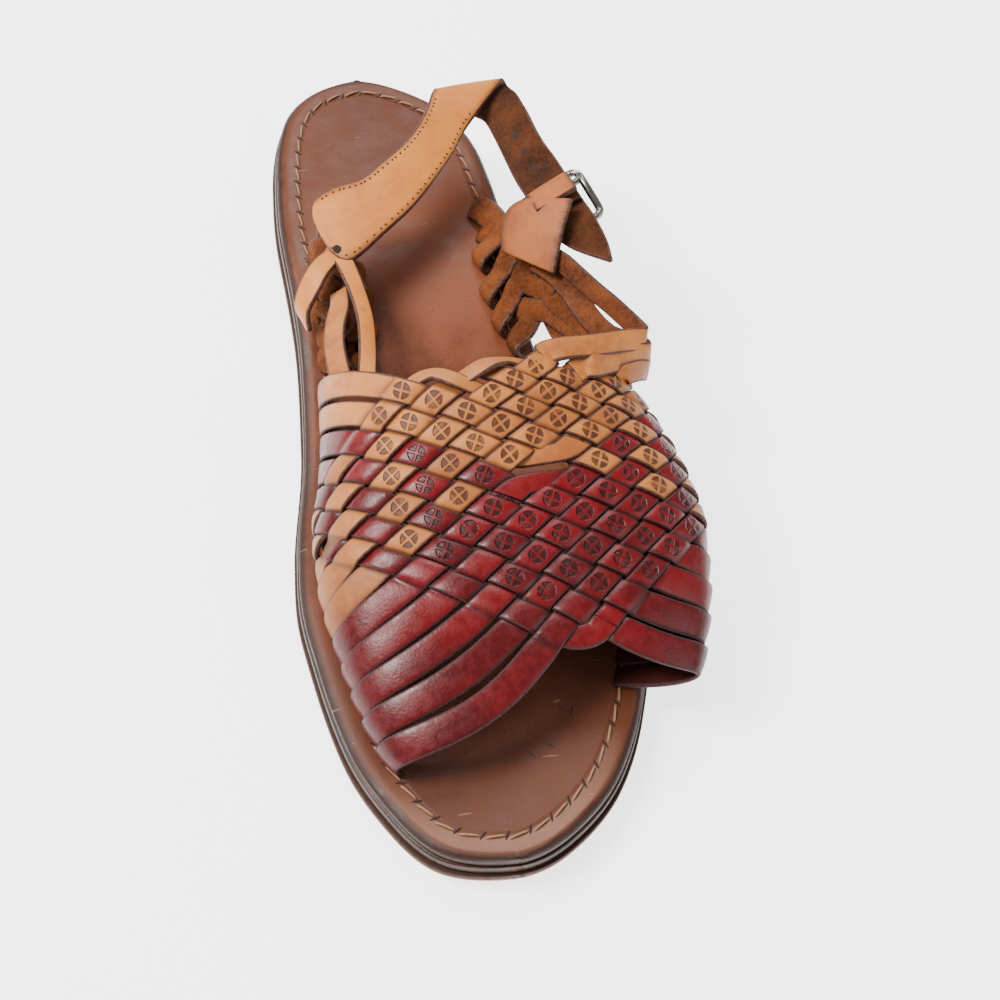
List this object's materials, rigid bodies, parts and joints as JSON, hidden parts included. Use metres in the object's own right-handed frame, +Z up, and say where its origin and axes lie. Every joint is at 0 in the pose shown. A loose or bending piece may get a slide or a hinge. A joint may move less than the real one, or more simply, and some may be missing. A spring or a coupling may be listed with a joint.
{
  "type": "huarache sandal",
  "caption": "Woven leather huarache sandal, left shoe: tan and red strip vamp, heel strap with a silver buckle, low black heel",
  "frame": {"origin": "centre of the bounding box in plan, on the ground that the heel and the forefoot stand on", "axes": "+Z up, toe towards -Y, heel towards +Y, big-toe (medial) side towards -X, lateral side with the buckle towards +X"},
  "size_m": [0.1018, 0.2496, 0.0541],
  "materials": {
    "heel": "black stacked heel block, satin",
    "outsole": "pale natural sole leather, matt cut edge",
    "midsole": "dark edge-stained leather, satin",
    "insole": "brown burnished insole leather, soft shine",
    "upper": "tan and red strips, satin grain side",
    "buckle": "polished nickel-plated wire",
    "buckle_prong": "polished nickel-plated wire"
  },
  "bodies": {
    "root": {"heel": "heel", "outsole": "outsole", "midsole": "midsole", "insole": "insole", "upper": "upper", "buckle": "buckle", "buckle_prong": "buckle_prong"}
  },
  "joints": []
}
